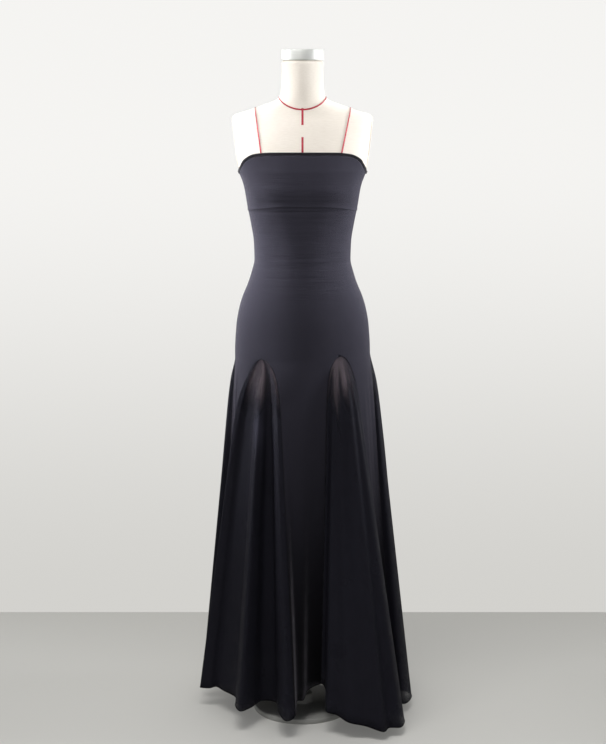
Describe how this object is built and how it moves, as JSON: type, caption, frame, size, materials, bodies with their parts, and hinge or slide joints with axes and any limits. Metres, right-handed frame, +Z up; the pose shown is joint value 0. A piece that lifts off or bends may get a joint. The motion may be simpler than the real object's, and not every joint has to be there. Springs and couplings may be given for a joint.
{
  "type": "mesh panel dress on a dress form",
  "caption": "Strapless floor-length stretch dress with sheer net godets from thigh to hem, standing on a limbless linen dress form with a neck cap and a plain stand.",
  "frame": {"origin": "on the floor under the axis of the stand's pole, at the base's underside", "axes": "+Z up, -Y towards the front of the dress, +X towards its right side as seen from the front"},
  "size_m": [0.5691, 0.5089, 1.7326],
  "materials": {
    "jersey": "matt stretch jersey, navy black",
    "net": "sheer fine net, navy black",
    "band": "folded jersey band",
    "linen": "natural linen cover",
    "cap": "brushed",
    "stand": "satin paint"
  },
  "bodies": {
    "root": {"bust_front": "jersey", "bust_back": "jersey", "top_band_front": "band", "top_band_back": "band", "body_front": "jersey", "body_back": "jersey", "godet_side_left": "net", "godet_front_left": "net", "godet_front_right": "net", "godet_side_right": "net", "godet_back_right": "net", "godet_back_left": "net", "form_body": "linen", "arm_plate_left": "linen", "arm_plate_right": "linen", "neck_cap": "cap", "stand_pole": "stand", "stand_base": "stand"}
  },
  "joints": []
}
